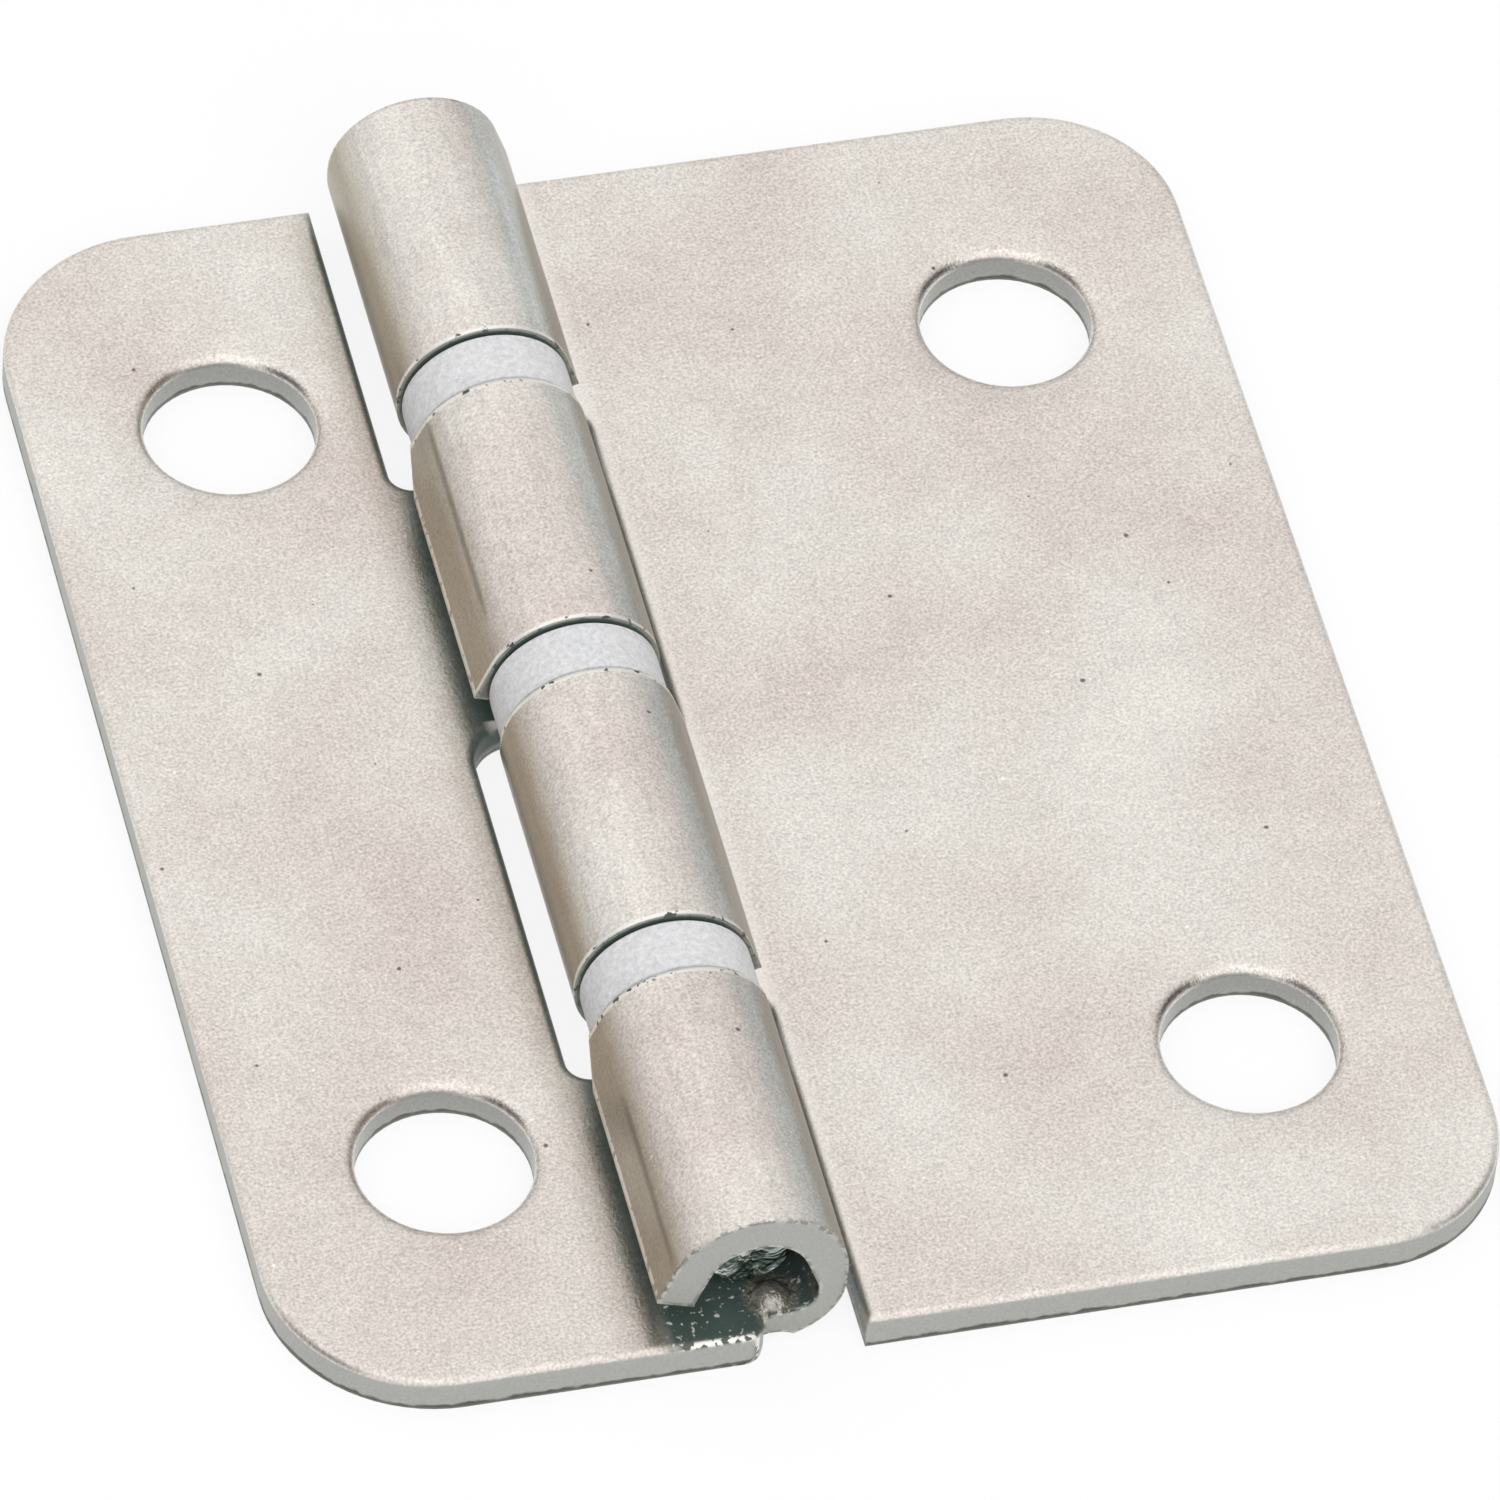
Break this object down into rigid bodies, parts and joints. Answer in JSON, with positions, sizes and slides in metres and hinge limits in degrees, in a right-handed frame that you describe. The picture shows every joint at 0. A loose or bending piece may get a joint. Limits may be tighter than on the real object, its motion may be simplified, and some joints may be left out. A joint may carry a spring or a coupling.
{
  "type": "folding door hinge",
  "caption": "Flat butt hinge for a folding door: a narrow and a wide leaf of folded sheet, rolled knuckles on a pin with plastic rings between them, and plain round screw holes.",
  "frame": {"origin": "centre of the bounding box's footprint, on the plane that both leaves' undersides lie in", "axes": "+Y along the pin from the end where the narrow leaf has its knuckle, +X from the narrow leaf to the wide leaf, +Z out of the face that the knuckles stand on"},
  "size_m": [0.0412, 0.051, 0.0061],
  "materials": {
    "leaf_steel": "satin nickel plate over blanked and rolled sheet",
    "pin_steel": "drawn wire, sheared ends",
    "ring_nylon": "moulded, semi-matt"
  },
  "bodies": {
    "narrow_half": {"narrow_leaf": "leaf_steel", "pin": "pin_steel", "ring_front": "ring_nylon", "ring_middle": "ring_nylon", "ring_back": "ring_nylon"},
    "wide_half": {"wide_leaf": "leaf_steel"}
  },
  "joints": [
    {"name": "fold", "type": "hinge", "parent": "narrow_half", "child": "wide_half", "pos_m": [-0.00535, 0, 0.00315], "axis": [0, -1, 0], "range_deg": [-94, 190]}
  ]
}
